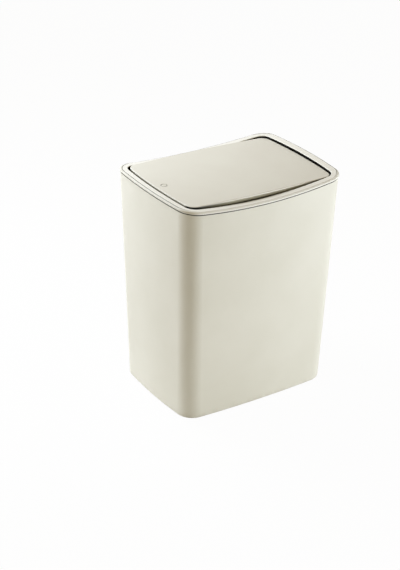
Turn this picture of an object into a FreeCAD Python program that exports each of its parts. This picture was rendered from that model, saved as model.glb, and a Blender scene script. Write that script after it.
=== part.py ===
import FreeCAD, Part
import math
import os
import re
import Sketcher

# A touch-top waste bin: a drafted shell, a lift-off collar and a sprung lid held by a push latch.
# Millimetres, +Z up, origin on the floor under the middle. X is the width, Y the depth.
# The lid is pressed at its front end (-Y) and hinges at its back end (+Y).

sizes = {
    # outline of the collar seen from above
    "width": 214,
    "depth": 286,
    "side_radius": 1700,
    "end_radius": 780,
    "corner_radius": 27.5,
    # heights; the top edge dips along the depth on one large radius
    "height": 350,
    "dip_radius": 1070,
    # shell
    "draft_inset": 10.3,
    "wall": 2.4,
    "base_thickness": 3,
    "foot_fillet": 4,
    "foot_width": 14,
    "foot_recess": 1.5,
    "rim_clearance": 0.3,
    # collar and the frame under it
    "overhang": 0.7,
    "skirt_height": 3.7,
    "skirt_wall": 1.8,
    "seam_gap": 1.6,
    "band_width": 12,
    "band_thickness": 2.4,
    "collar_round": 3,
    "mouth_round": 1,
    "plug_wall": 1.8,
    "plug_depth": 39,
    "plug_clearance": 0.4,
    # lid, leaning a little (degrees) so that its front end stands higher than its hinge
    "lid_gap": 3.2,
    "lid_back_gap": 1.6,
    "lid_corner_radius": 14.3,
    "lid_tilt": 1.03,
    "lid_drop": 5.3,
    "lid_plate": 2.2,
    "lid_depth": 6.5,
    "lid_wall": 1.8,
    "lid_draft": 0.3,
    "lid_round": 1.2,
    "mark_diameter": 10,
    "mark_groove": 1,
    "mark_depth": 0.6,
    "mark_setback": 14.3,
    # inner lid
    "liner_thickness": 1.6,
    "liner_clearance": 0.4,
    "liner_back_gap": 28,
    "boss_diameter": 7,
    "boss_inset": 12,
    # hinge
    "hinge_setback": 20.4,
    "hinge_drop": 8,
    "axle_diameter": 4,
    "running_clearance": 0.05,
    "ear_inset": 45,
    "ear_thickness": 5,
    "ear_radius": 4.6,
    "ear_foot_gap": 0.9,
    "knuckle_thickness": 6,
    "knuckle_gap": 1.6,
    "notch_clearance": 1,
    "bush_wall": 1,
    "bush_flange": 0.8,
    "bush_flange_width": 1.3,
    "clip_thickness": 0.8,
    "clip_width": 2.2,
    "clip_groove": 0.4,
    "clip_gap": 0.4,
    "axle_end": 1.6,
    # torsion springs
    "torsion_wire": 1.2,
    "torsion_clearance": 0.6,
    "torsion_turns": 6,
    "torsion_pitch": 1.9,
    "torsion_leg": 20,
    "spring_pad_width": 5,
    "spring_pad_length": 9,
    "spring_pad_gap": 0.15,
    # push latch
    "latch_setback": 14.3,
    "shelf_width": 78,
    "shelf_thickness": 3,
    "shelf_reach": 14,
    "shelf_drop": 10.8,
    "shelf_rib": 2,
    "case_width": 18,
    "case_depth": 18,
    "case_height": 28,
    "case_wall": 3,
    "case_floor": 2,
    "case_clearance": 0.4,
    "flange_width": 38,
    "flange_screw_inset": 5,
    "flange_thickness": 2.5,
    "cover_thickness": 1.5,
    "plunger_clearance": 0.3,
    "plunger_length": 20,
    "plunger_head": 3.5,
    "plunger_head_overhang": 1.5,
    "magnet_diameter": 8,
    "magnet_thickness": 3,
    "magnet_proud": 0.3,
    "magnet_gap": 0.3,
    "latch_spring_diameter": 5,
    "latch_spring_wire": 0.8,
    "latch_spring_turns": 7,
    "latch_spring_bore": 9,
    "spring_clearance": 0.4,
    "spring_seat": 0.1,
    "track_width": 3,
    "track_depth": 2.2,
    "track_reach": 4,
    "follower_reach": 6.5,
    "follower_tip": 1,
    "follower_play": 0.3,
    "follower_pocket": 1.8,
    "follower_wire": 1,
    "follower_bend": 1.3,
    # strike plate
    "strike_width": 28,
    "strike_depth": 15,
    "strike_thickness": 1.2,
    "strike_corner": 2,
    "strike_screw_inset": 4.5,
    # rubber buffers
    "buffer_diameter": 8,
    "buffer_height": 7.8,
    "buffer_stem": 4,
    "buffer_bulb": 1,
    "buffer_round": 1.2,
    "buffer_spacing": 58,
    # screws
    "screw_diameter": 2.8,
    "screw_head": 5.4,
    "screw_head_height": 1.6,
    "screw_length": 5,
    "screw_clearance": 0.1,
    "screw_slot": 0.8,
}

doc = FreeCAD.newDocument("TouchTopBin")
sheet = doc.addObject("Spreadsheet::Sheet", "Sizes")
for row, (alias, number) in enumerate(sizes.items(), start=1):
    sheet.set(f"A{row}", alias)
    sheet.set(f"B{row}", str(number))
    sheet.setAlias(f"B{row}", alias)
doc.recompute()

# Places that several pieces share, as expressions of the driving sizes.
plug_inset = "(overhang + wall + plug_clearance + sqrt(2) * plug_depth * draft_inset / height)"
plug_inner = f"({plug_inset} + plug_wall)"
plug_bottom = "(height - plug_depth)"
lid_inset = "(band_width + lid_gap)"
lid_inner = f"({lid_inset} + lid_draft + lid_wall)"
lid_top = "(height - lid_drop)"
plate_bottom = f"({lid_top} - lid_plate)"
lid_bottom = f"({lid_top} - lid_depth)"
lid_front = f"(depth / 2 - {lid_inset})"
lid_back = "(depth / 2 - band_width - lid_back_gap)"
lid_shift = "((lid_gap - lid_back_gap) / 2)"
hinge_y = f"({lid_back} - hinge_setback)"
hinge_z = f"({lid_top} - hinge_drop)"
hinge_sweep = "sqrt(hinge_setback ^ 2 + hinge_drop ^ 2)"
foot_top = f"({hinge_z} - {hinge_sweep} - ear_foot_gap)"
ear_middle = "(width / 2 - ear_inset)"
knuckle_offset = "(ear_thickness / 2 + knuckle_gap)"
latch_y = f"(latch_setback - {lid_front})"
lid_rise = f"(({hinge_y} - {latch_y}) * tan(lid_tilt))"
strike_bottom = f"({lid_bottom} - strike_thickness)"
magnet_top = f"({strike_bottom} + {lid_rise} - magnet_gap)"
head_top = f"({magnet_top} - magnet_proud)"
shelf_top = f"({lid_bottom} + {lid_rise} - shelf_drop)"
flange_top = f"({shelf_top} + flange_thickness)"
case_bottom = f"({shelf_top} - case_height)"
case_inside = f"({case_bottom} + case_floor)"
cavity_width = "(case_width - 2 * case_wall)"
cavity_depth = "(case_depth - 2 * case_wall)"
plunger_depth = f"({cavity_depth} - 2 * plunger_clearance)"
plunger_bottom = f"({head_top} - plunger_head - plunger_length)"
bore_top = f"({plunger_bottom} + latch_spring_bore)"
torsion_radius = "(axle_diameter / 2 + torsion_clearance + torsion_wire / 2)"
torsion_start = f"({ear_middle} - {knuckle_offset} - knuckle_thickness - torsion_wire)"


def cells(text):
    """Point every size named in an expression at its spreadsheet cell."""
    return re.sub(r"[a-z]+(?:_[a-z]+)*", lambda word: cell(word.group()), text)


def cell(word):
    return "Sizes." + word if word in sizes else word


def amount(text):
    """The number an expression has now."""
    return float(sheet.evalExpression(cells(text)))


def place(thing, x="0", y="0", z="0"):
    thing.setExpression("Placement.Base.x", cells(x))
    thing.setExpression("Placement.Base.y", cells(y))
    thing.setExpression("Placement.Base.z", cells(z))
    return thing


def block(name, spans):
    """A box between two expressions on each axis."""
    thing = doc.addObject("Part::Box", name)
    for side, (low, high) in zip(("Length", "Width", "Height"), spans):
        thing.setExpression(side, cells(f"({high}) - ({low})"))
    return place(thing, spans[0][0], spans[1][0], spans[2][0])


def around(middle, size):
    """The two ends of a span about its middle."""
    return f"({middle}) - ({size}) / 2", f"({middle}) + ({size}) / 2"


turned = {
    "x": FreeCAD.Rotation(FreeCAD.Vector(0, 1, 0), 90),
    "y": FreeCAD.Rotation(FreeCAD.Vector(1, 0, 0), -90),
    "z": FreeCAD.Rotation(),
}


def rod(name, radius, length, start, axis="z"):
    """A cylinder from its start point along one axis."""
    thing = doc.addObject("Part::Cylinder", name)
    thing.Placement = FreeCAD.Placement(FreeCAD.Vector(), turned[axis])
    thing.setExpression("Radius", cells(radius))
    thing.setExpression("Height", cells(length))
    return place(thing, *start)


def taper(name, low_radius, high_radius, length, start):
    thing = doc.addObject("Part::Cone", name)
    thing.setExpression("Radius1", cells(low_radius))
    thing.setExpression("Radius2", cells(high_radius))
    thing.setExpression("Height", cells(length))
    return place(thing, *start)


def fuse(name, *pieces):
    thing = doc.addObject("Part::MultiFuse", name)
    thing.Shapes = list(pieces)
    thing.Refine = True
    return thing


def cut(name, base, *tools):
    thing = doc.addObject("Part::Cut", name)
    thing.Base = base
    thing.Tool = tools[0] if len(tools) == 1 else fuse(name + "_tools", *tools)
    thing.Refine = True
    return thing


def common(name, base, tool):
    thing = doc.addObject("Part::Common", name)
    thing.Base = base
    thing.Tool = tool
    thing.Refine = True
    return thing


def group(name, pieces):
    thing = doc.addObject("Part::Compound", name)
    thing.Links = pieces
    return thing


def outline(name, half_width, half_depth, level="0", shift="0", corner_size="corner_radius"):
    """A closed outline of eight tangent arcs: two sides, two ends and four corners."""
    side = amount("side_radius")
    end = amount("end_radius")
    corner = amount(corner_size)
    side_x = amount(half_width) - side
    end_y = amount(half_depth) - end
    span = math.hypot(side_x, end_y)
    along = ((side - corner) ** 2 - (end - corner) ** 2 + span ** 2) / (2 * span)
    across = math.sqrt((side - corner) ** 2 - along ** 2)
    corner_x = side_x - (along * side_x + across * end_y) / span
    corner_y = (along * end_y - across * side_x) / span
    low = math.atan2(corner_y, corner_x - side_x)
    high = math.atan2(corner_y - end_y, corner_x)
    turn = math.pi
    arcs = [
        (side_x, 0, side, -low, low),
        (corner_x, corner_y, corner, low, high),
        (0, end_y, end, high, turn - high),
        (-corner_x, corner_y, corner, turn - high, turn - low),
        (-side_x, 0, side, turn - low, turn + low),
        (-corner_x, -corner_y, corner, turn + low, turn + high),
        (0, -end_y, end, turn + high, 2 * turn - high),
        (corner_x, -corner_y, corner, 2 * turn - high, 2 * turn - low),
    ]
    sketch = doc.addObject("Sketcher::SketchObject", name)
    up = FreeCAD.Vector(0, 0, 1)
    for x, y, radius, start, stop in arcs:
        circle = Part.Circle(FreeCAD.Vector(x, y, 0), up, radius)
        sketch.addGeometry(Part.ArcOfCircle(circle, start, stop), False)
    for arc in range(8):
        sketch.addConstraint(Sketcher.Constraint("Tangent", arc, 2, (arc + 1) % 8, 1))
    for arc, axis in ((0, -1), (4, -1), (2, -2), (6, -2)):
        sketch.addConstraint(Sketcher.Constraint("PointOnObject", arc, 3, axis))
    for first, others in ((0, (4,)), (2, (6,)), (1, (3, 5, 7))):
        for other in others:
            sketch.addConstraint(Sketcher.Constraint("Equal", first, other))
    driven = (
        (Sketcher.Constraint("Radius", 0, side), "side_radius"),
        (Sketcher.Constraint("Radius", 2, end), "end_radius"),
        (Sketcher.Constraint("Radius", 1, corner), corner_size),
        (Sketcher.Constraint("DistanceX", 0, 3, -1, 1, -side_x), f"side_radius - {half_width}"),
        (Sketcher.Constraint("DistanceX", -1, 1, 4, 3, -side_x), f"side_radius - {half_width}"),
        (Sketcher.Constraint("DistanceY", 2, 3, -1, 1, -end_y), f"end_radius - {half_depth}"),
        (Sketcher.Constraint("DistanceY", -1, 1, 6, 3, -end_y), f"end_radius - {half_depth}"),
    )
    for constraint, text in driven:
        index = sketch.addConstraint(constraint)
        sketch.setExpression(f"Constraints[{index}]", cells(text))
    return place(sketch, y=shift, z=level)


def inset(name, wire, distance):
    """The outline drawn in by a distance all round."""
    thing = doc.addObject("Part::Offset2D", name)
    thing.Source = wire
    thing.setExpression("Value", cells(f"-({distance})"))
    return thing


def prism(name, wire, bottom, top):
    thing = doc.addObject("Part::Extrusion", name)
    thing.Base = wire
    thing.DirMode = "Custom"
    thing.Dir = FreeCAD.Vector(0, 0, 1)
    thing.Solid = True
    thing.setExpression("LengthFwd", cells(top))
    thing.setExpression("LengthRev", cells(f"-({bottom})"))
    return thing


def loft(name, *wires):
    thing = doc.addObject("Part::Loft", name)
    thing.Sections = list(wires)
    thing.Solid = True
    thing.Ruled = True
    return thing


def dip(name, below):
    """The space above the dipped top edge, moved down by a distance."""
    centre_z = "height + sqrt(dip_radius ^ 2 - (depth / 2) ^ 2)"
    return rod(name, f"dip_radius + {below}", "2 * width", ("-width", "0", centre_z), "x")


def rounded(name, base, radius, picks):
    """Round the edges that a test picks from the base."""
    doc.recompute()
    size = amount(radius)
    edges = base.Shape.Edges
    thing = doc.addObject("Part::Fillet", name)
    thing.Base = base
    thing.Edges = [(i + 1, size, size) for i, edge in enumerate(edges) if picks(edge)]
    return thing


def middle(edge):
    return edge.valueAt((edge.FirstParameter + edge.LastParameter) / 2)


def sits_on(wire, reach=0.05):
    """A test for edges that lie over a wire, seen from above."""
    doc.recompute()
    flat = wire.Shape

    def picks(edge):
        point = middle(edge)
        below = Part.Vertex(point.x, point.y, flat.BoundBox.ZMin)
        return flat.distToShape(below)[0] < reach
    return picks


def tilted(thing):
    """Lean a lid piece about the hinge line."""
    lean = FreeCAD.Rotation(FreeCAD.Vector(-1, 0, 0), amount("lid_tilt"))
    thing.Placement = FreeCAD.Placement(FreeCAD.Vector(), lean)
    thing.setExpression("Placement.Rotation.Angle", cells("lid_tilt"))
    back = f"{hinge_y} - {hinge_y} * cos(lid_tilt) - {hinge_z} * sin(lid_tilt)"
    up = f"{hinge_z} + {hinge_y} * sin(lid_tilt) - {hinge_z} * cos(lid_tilt)"
    return place(thing, "0", back, up)


def finished(node, thing):
    thing.Label = node
    return thing


# Outlines seen from above, drawn in from the collar's outer edge.
half_width = "width / 2"
half_depth = "depth / 2"
collar_wire = outline("collar_outline", f"({half_width})", f"({half_depth})")
skirt_wire = inset("skirt_inner_outline", collar_wire, "skirt_wall")
rim_wire = inset("rim_outline", collar_wire, "skirt_wall + rim_clearance")
plug_wire = inset("plug_outline", collar_wire, plug_inset)
plug_inner_wire = inset("plug_inner_outline", collar_wire, plug_inner)
mouth_wire = inset("mouth_outline", collar_wire, "band_width")


def lid_outline(name, level, drawn_in):
    """The lid's outline at a level, drawn in by a distance."""
    return outline(
        name,
        f"({half_width} - {lid_inset} - {drawn_in})",
        f"(({lid_front} + {lid_back}) / 2 - {drawn_in})",
        level,
        lid_shift,
        f"(lid_corner_radius - {drawn_in})",
    )


lid_wire = lid_outline("lid_outline", "0", "0")
liner_wire = inset("liner_outline", lid_wire, "lid_draft + lid_wall + liner_clearance")

above = "height + dip_radius / 50"
below = "-dip_radius / 50"


def beyond(name, wire, low, high):
    """The space outside an outline, out past the collar."""
    whole = block(name + "_whole", (("-width", "width"), ("-depth", "depth"), (low, high)))
    return cut(name, whole, prism(name + "_core", wire, below, above))


# Shell: two drafted lofts, one inside the other, a recessed base and a rebated, dipped rim.
base_half_width = "(width / 2 - overhang - draft_inset)"
base_half_depth = "(depth / 2 - overhang - draft_inset)"
shell_base = outline("shell_base_outline", base_half_width, base_half_depth)
shell_top = outline("shell_top_outline", "(width / 2 - overhang)", "(depth / 2 - overhang)", "height")
shell_outside = loft("shell_outside", shell_base, shell_top)
shell_foot = rounded("shell_foot", shell_outside, "foot_fillet", sits_on(shell_base))
hollow_base = inset("hollow_base_outline", shell_base, "wall")
hollow_top = inset("hollow_top_outline", shell_top, "wall")
hollow = loft("hollow", hollow_base, hollow_top)
floor_block = block("floor_block", (("-width", "width"), ("-depth", "depth"), ("0", "base_thickness")))
hollow_above_floor = cut("hollow_above_floor", hollow, floor_block)
foot_wire = inset("foot_outline", shell_base, "foot_width")
base_recess = prism("base_recess", foot_wire, below, "foot_recess")
rim_space = dip("rim_space", "band_thickness + rim_clearance")
shoulder_space = common(
    "shoulder_space",
    beyond("shoulder_ring", rim_wire, "0", above),
    dip("shoulder_dip", "skirt_height + seam_gap"),
)
bin_body = finished(
    "bin_body",
    cut("shell", shell_foot, hollow_above_floor, base_recess, rim_space, shoulder_space),
)

# Collar: a short skirt outside and a top band round the mouth.
collar_solid = cut(
    "collar_solid",
    prism("collar_prism", collar_wire, plug_bottom, above),
    dip("top_dip", "0"),
)
everywhere = block("everywhere", (("-width", "width"), ("-depth", "depth"), (below, above)))
under_skirt = cut("under_skirt", everywhere, dip("skirt_dip", "skirt_height"))
under_band = cut(
    "under_band",
    prism("under_band_prism", skirt_wire, below, above),
    dip("under_band_dip", "band_thickness"),
)
mouth = prism("mouth", mouth_wire, below, above)
collar_ring = cut("collar_ring", collar_solid, under_skirt, under_band, mouth)


def top_height(y):
    """Height of the dipped top edge at a depth."""
    radius = amount("dip_radius")
    end = amount("depth / 2")
    return amount("height") + math.sqrt(radius ** 2 - end ** 2) - math.sqrt(radius ** 2 - y ** 2)


def near_top(edge, reach=0.05):
    point = middle(edge)
    return abs(point.z - top_height(point.y)) < reach


over_collar_edge = sits_on(collar_wire)
over_mouth_edge = sits_on(mouth_wire)
collar_edge = rounded(
    "collar_edge",
    collar_ring,
    "collar_round",
    lambda edge: over_collar_edge(edge) and near_top(edge),
)
collar_band = rounded(
    "collar_band",
    collar_edge,
    "mouth_round",
    lambda edge: over_mouth_edge(edge) and near_top(edge),
)
lid_collar = finished("lid_collar", collar_band)

# Frame: a plug wall welded under the band. It goes down inside the shell and carries hinge and latch.
frame_wall = cut(
    "frame_wall",
    prism("frame_outer", plug_wire, plug_bottom, above),
    prism("frame_inner", plug_inner_wire, below, above),
    dip("frame_dip", "band_thickness"),
)

# Hinge ears stand on feet that reach back to the plug wall under the lid's swing.
sides = {"left": -1, "right": 1}
plug_middle_wire = inset("plug_middle_outline", collar_wire, f"{plug_inset} + plug_wall / 2")


def plug_limit(name):
    """The space inside the middle of the plug wall, where inner brackets end."""
    return prism(name, plug_middle_wire, plug_bottom, above)


def mirrored(side, inner, outer):
    """A span on the left or right side from its distances to the middle."""
    if side > 0:
        return f"({inner})", f"({outer})"
    return f"-({outer})", f"-({inner})"


torsion_end = f"({torsion_start} - torsion_turns * torsion_pitch - 2 * torsion_wire)"
ear_inner = f"({ear_middle} - ear_thickness / 2)"
ear_outer = f"({ear_middle} + ear_thickness / 2)"
brackets = []
bores = []
for name, side in sides.items():
    ear_x = mirrored(side, ear_inner, ear_outer)
    foot_x = mirrored(side, torsion_end, ear_outer)
    ear_y = around(hinge_y, "2 * ear_radius")
    brackets.append(block(f"ear_post_{name}", (ear_x, ear_y, (plug_bottom, hinge_z))))
    ear_start = (ear_x[0], hinge_y, hinge_z)
    brackets.append(rod(f"ear_eye_{name}", "ear_radius", "ear_thickness", ear_start, "x"))
    foot_y = (f"{hinge_y} - 2 * ear_radius", half_depth)
    foot = block(f"foot_block_{name}", (foot_x, foot_y, (plug_bottom, foot_top)))
    brackets.append(common(f"ear_foot_{name}", foot, plug_limit(f"foot_limit_{name}")))
    bore_start = (f"{ear_x[0]} - ear_thickness", hinge_y, hinge_z)
    bore_radius = "axle_diameter / 2 + running_clearance + bush_wall"
    bores.append(rod(f"ear_bore_{name}", bore_radius, "3 * ear_thickness", bore_start, "x"))

# The latch shelf crosses the front of the frame on two ribs.
shelf_y = (f"-{half_depth}", f"{latch_y} + shelf_reach")
shelf_block = block(
    "shelf_block",
    (around("0", "shelf_width"), shelf_y, (f"{shelf_top} - shelf_thickness", shelf_top)),
)
brackets.append(common("latch_shelf", shelf_block, plug_limit("shelf_limit")))
for name, side in sides.items():
    rib_x = mirrored(side, "shelf_width / 2 - shelf_rib", "shelf_width / 2")
    rib = block(f"rib_block_{name}", (rib_x, shelf_y, (plug_bottom, shelf_top)))
    brackets.append(common(f"shelf_rib_{name}", rib, plug_limit(f"rib_limit_{name}")))

flange_screw_x = "(flange_width / 2 - flange_screw_inset)"
shelf_low = f"{shelf_top} - 2 * shelf_thickness"
shelf_holes = [
    block(
        "case_window",
        (
            around("0", "case_width + 2 * case_clearance"),
            around(latch_y, "case_depth + 2 * case_clearance"),
            (shelf_low, flange_top),
        ),
    )
]
for name, side in sides.items():
    hole_radius = "screw_diameter / 2 + screw_clearance"
    hole_at = (f"{side} * {flange_screw_x}", latch_y, shelf_low)
    shelf_holes.append(rod(f"shelf_screw_hole_{name}", hole_radius, "3 * shelf_thickness", hole_at))
    stem_at = (f"{side} * buffer_spacing / 2", latch_y, shelf_low)
    shelf_holes.append(rod(f"buffer_hole_{name}", "buffer_stem / 2", "3 * shelf_thickness", stem_at))

frame_whole = fuse("frame_whole", frame_wall, *brackets)
collar_frame = finished("collar_frame", cut("frame", frame_whole, *bores, *shelf_holes))

# Lid: a flat plate with a drafted skirt, hinge knuckles, spring pads and screw bosses under it.
lid_plate = prism("lid_plate", lid_wire, plate_bottom, lid_top)
lid_edge = sits_on(lid_wire)
lid_skin = rounded(
    "lid_skin",
    lid_plate,
    "lid_round",
    lambda edge: lid_edge(edge) and middle(edge).z > amount(f"{lid_top} - lid_round"),
)
skirt_upper = lid_outline("lid_skirt_upper", plate_bottom, "0")
skirt_lower = lid_outline("lid_skirt_lower", lid_bottom, "lid_draft")
skirt_outside = loft("lid_skirt_outside", skirt_upper, skirt_lower)
space_upper = inset("lid_space_upper", skirt_upper, "lid_wall")
space_lower = inset("lid_space_lower", skirt_lower, "lid_wall")
lid_space = loft("lid_space", space_upper, space_lower)
lid_shell = fuse("lid_shell", lid_skin, cut("lid_skirt", skirt_outside, lid_space))

liner_top = f"({lid_bottom} + liner_thickness)"
liner_back = f"({hinge_y} - liner_back_gap)"
boss_x = f"(width / 2 - {lid_inner} - boss_inset)"
boss_front = f"(boss_inset - depth / 2 + {lid_inner})"
boss_back = f"({liner_back} - boss_inset)"
liner_screw_places = [
    (f"{side} * {boss_x}", y)
    for side in sides.values()
    for y in (boss_front, f"(({boss_front} + {boss_back}) / 2)", boss_back)
]
strike_screw_x = "(strike_width / 2 - strike_screw_inset)"
strike_screw_places = [(f"{side} * {strike_screw_x}", latch_y) for side in sides.values()]

lid_additions = []
lid_removals = []
for name, side in sides.items():
    notch_x = mirrored(side, f"{ear_inner} - notch_clearance", f"{ear_outer} + notch_clearance")
    notch_z = (f"{lid_bottom} - lid_depth", plate_bottom)
    lid_removals.append(block(f"ear_notch_{name}", (notch_x, (hinge_y, half_depth), notch_z)))
    inner_face = f"{ear_inner} - knuckle_gap"
    outer_face = f"{ear_outer} + knuckle_gap"
    inner_knuckle = mirrored(side, f"{inner_face} - knuckle_thickness", inner_face)
    outer_knuckle = mirrored(side, outer_face, f"{outer_face} + knuckle_thickness")
    for spot, knuckle_x in (("inner", inner_knuckle), ("outer", outer_knuckle)):
        cheek_y = around(hinge_y, "2 * ear_radius")
        cheek = block(f"knuckle_cheek_{spot}_{name}", (knuckle_x, cheek_y, (hinge_z, plate_bottom)))
        eye_at = (knuckle_x[0], hinge_y, hinge_z)
        eye = rod(f"knuckle_eye_{spot}_{name}", "ear_radius", "knuckle_thickness", eye_at, "x")
        lid_additions += [cheek, eye]
    pad_bottom = f"{hinge_z} - {torsion_radius} + torsion_wire / 2 + spring_pad_gap"
    pad_x = around(f"{side} * ({torsion_start} - torsion_turns * torsion_pitch)", "spring_pad_width")
    pad_back = f"{hinge_y} - torsion_leg + spring_pad_length / 2"
    pad_y = (f"{pad_back} - spring_pad_length", pad_back)
    lid_additions.append(block(f"spring_pad_{name}", (pad_x, pad_y, (pad_bottom, plate_bottom))))
for number, (x, y) in enumerate(liner_screw_places + strike_screw_places):
    boss_height = f"{plate_bottom} - {liner_top}"
    lid_additions.append(rod(f"boss_{number}", "boss_diameter / 2", boss_height, (x, y, liner_top)))
    pilot_radius = "screw_diameter / 2 + screw_clearance"
    pilot_height = "screw_length + screw_clearance"
    lid_removals.append(rod(f"boss_pilot_{number}", pilot_radius, pilot_height, (x, y, lid_bottom)))
hinge_bore = rod(
    "hinge_bore",
    "axle_diameter / 2 + running_clearance",
    "width",
    (f"-{half_width}", hinge_y, hinge_z),
    "x",
)
mark_y = f"(mark_setback - {lid_front})"
mark_at = ("0", mark_y, f"{lid_top} - mark_depth")
mark_ring = cut(
    "mark_ring",
    rod("mark_outer", "mark_diameter / 2", "lid_depth", mark_at),
    rod("mark_inner", "mark_diameter / 2 - mark_groove", "lid_depth", mark_at),
)
lid_whole = fuse("lid_whole", lid_shell, *lid_additions)
lid_panel = finished("lid_panel", tilted(cut("lid", lid_whole, hinge_bore, mark_ring, *lid_removals)))

# Inner lid, cut straight in front of the hinge.
liner_plate = prism("liner_plate", liner_wire, lid_bottom, liner_top)
liner_cuts = [block("liner_back_cut", (("-width", "width"), (liner_back, half_depth), (below, above)))]
for number, (x, y) in enumerate(liner_screw_places + strike_screw_places):
    hole_radius = "screw_diameter / 2 + screw_clearance"
    hole_at = (x, y, f"{lid_bottom} - liner_thickness")
    liner_cuts.append(rod(f"liner_hole_{number}", hole_radius, "4 * liner_thickness", hole_at))
lid_liner = finished("lid_liner", tilted(cut("liner", liner_plate, *liner_cuts)))


def screw(name, x, y, seat, way):
    """A slotted pan-head screw, its shank going up (1) or down (-1) from its seat."""
    shank_low = seat if way > 0 else f"{seat} - screw_length"
    head_low = f"{seat} - screw_head_height" if way > 0 else seat
    slot_low = f"{head_low} - screw_head_height / 2" if way > 0 else f"{seat} + screw_head_height / 2"
    shank = rod(f"{name}_shank", "screw_diameter / 2", "screw_length", (x, y, shank_low))
    head = rod(f"{name}_head", "screw_head / 2", "screw_head_height", (x, y, head_low))
    slot_z = (slot_low, f"{slot_low} + screw_head_height")
    slot = block(f"{name}_slot", (around(x, "2 * screw_head"), around(y, "screw_slot"), slot_z))
    return cut(name, fuse(f"{name}_blank", shank, head), slot)


def sunk_screw(name, x, y, seat, depth):
    """A countersunk screw that lies flush under a plate, its shank going up."""
    head = taper(f"{name}_head", "screw_head / 2", "screw_diameter / 2", depth, (x, y, seat))
    shank = rod(f"{name}_shank", "screw_diameter / 2", "screw_length", (x, y, seat))
    slot_z = (f"{seat} - {depth}", f"{seat} + {depth} / 2")
    slot = block(f"{name}_slot", (around(x, "2 * screw_head"), around(y, "screw_slot"), slot_z))
    return cut(name, fuse(f"{name}_blank", head, shank), slot)


liner_screw_set = group(
    "liner_screw_set",
    [screw(f"liner_screw_{i}", x, y, lid_bottom, 1) for i, (x, y) in enumerate(liner_screw_places)],
)
liner_screws = finished("liner_screws", tilted(liner_screw_set))

# Hinge rod with a clip in a groove near each end, and a flanged bush in each ear.
clip_start = f"({ear_outer} + knuckle_gap + knuckle_thickness + clip_gap)"
axle_half = f"({clip_start} + clip_thickness + axle_end)"
groove_radius = "(axle_diameter / 2 - clip_groove)"
axle_rod = rod("axle_rod", "axle_diameter / 2", f"2 * {axle_half}", (f"-{axle_half}", hinge_y, hinge_z), "x")
grooves = []
clips = []
for name, side in sides.items():
    clip_x = mirrored(side, clip_start, f"{clip_start} + clip_thickness")[0]
    clip_at = (clip_x, hinge_y, hinge_z)
    groove_outer = rod(f"groove_outer_{name}", "axle_diameter", "clip_thickness", clip_at, "x")
    groove_core = rod(f"groove_core_{name}", groove_radius, "clip_thickness", clip_at, "x")
    grooves.append(cut(f"clip_groove_{name}", groove_outer, groove_core))
    disc = rod(f"clip_disc_{name}", f"{groove_radius} + clip_width", "clip_thickness", clip_at, "x")
    hole = rod(f"clip_hole_{name}", groove_radius, "clip_thickness", clip_at, "x")
    mouth_x = (f"{clip_x} - clip_thickness", f"{clip_x} + 2 * clip_thickness")
    mouth_y = around(hinge_y, f"1.7 * {groove_radius}")
    opening = block(f"clip_mouth_{name}", (mouth_x, mouth_y, (f"{hinge_z} - 2 * axle_diameter", hinge_z)))
    clips.append(cut(f"clip_{name}", disc, hole, opening))
hinge_axle = finished("hinge_axle", cut("axle", axle_rod, *grooves))
axle_clips = finished("axle_clips", group("clip_set", clips))

bushes = []
for name, side in sides.items():
    sleeve_x = mirrored(side, ear_inner, ear_outer)[0]
    flange_x = mirrored(side, f"{ear_inner} - bush_flange", ear_inner)[0]
    sleeve_radius = "(axle_diameter / 2 + running_clearance + bush_wall)"
    sleeve = rod(f"bush_sleeve_{name}", sleeve_radius, "ear_thickness", (sleeve_x, hinge_y, hinge_z), "x")
    flange_radius = f"{sleeve_radius} + bush_flange_width"
    flange = rod(f"bush_flange_{name}", flange_radius, "bush_flange", (flange_x, hinge_y, hinge_z), "x")
    bore_x = f"{flange_x} - ear_thickness"
    bore_radius = "axle_diameter / 2 + running_clearance"
    bore = rod(f"bush_bore_{name}", bore_radius, "4 * ear_thickness", (bore_x, hinge_y, hinge_z), "x")
    bush = cut(f"bush_{name}", fuse(f"bush_blank_{name}", sleeve, flange), bore)
    bushes.append(finished(f"hinge_bush_{name}", bush))


def arc_between(start, heading, stop):
    """The arc that leaves a point along a heading and ends at another point."""
    chord = stop - start
    across = heading - chord * (heading.dot(chord) / chord.dot(chord))
    if across.Length < 1e-6:
        return Part.makeLine(start, stop)
    turn = heading.getAngle(chord)
    crown = start + chord * 0.5 + across.normalize() * (chord.Length / 2 * math.tan(turn / 2))
    return Part.Arc(start, crown, stop).toShape()


def biarc(start, heading, stop, final):
    """Two arcs that join two points smoothly along their headings."""
    chord = stop - start
    both = heading + final
    bend = 2 * (1 - heading.dot(final))
    reach = (math.sqrt(chord.dot(both) ** 2 + bend * chord.dot(chord)) - chord.dot(both)) / bend
    joint = (start + stop + (heading - final) * reach) * 0.5
    back = arc_between(stop, final * -1, joint)
    return [arc_between(start, heading, joint), back]


def coil_edges(point, heading, turns):
    """Quarter turns of a coil, each as two arcs."""
    quarters = round(4 * turns)
    steps = [2 * math.pi * turns * i / quarters for i in range(quarters + 1)]
    edges = []
    for low, high in zip(steps, steps[1:]):
        edges += biarc(point(low), heading(low), point(high), heading(high))
    return edges


def tube(edges, wire):
    """A round wire along joined edges."""
    path = Part.Wire(Part.__sortEdges__(edges))
    first = path.OrderedEdges[0]
    start = path.OrderedVertexes[0].Point
    along = first.tangentAt(first.FirstParameter)
    section = Part.Wire(Part.makeCircle(wire / 2, start, along))
    return path.makePipeShell([section], True, False)


def least_gap(edges, wire):
    """Smallest air gap between stretches of a wire that lie at least half a turn apart."""
    points = [point for edge in edges for point in edge.discretize(5)[:-1]]
    apart = 20
    nearest = min(
        points[i].distanceToPoint(points[j])
        for i in range(len(points))
        for j in range(i + apart, len(points))
    )
    return nearest - wire


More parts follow.
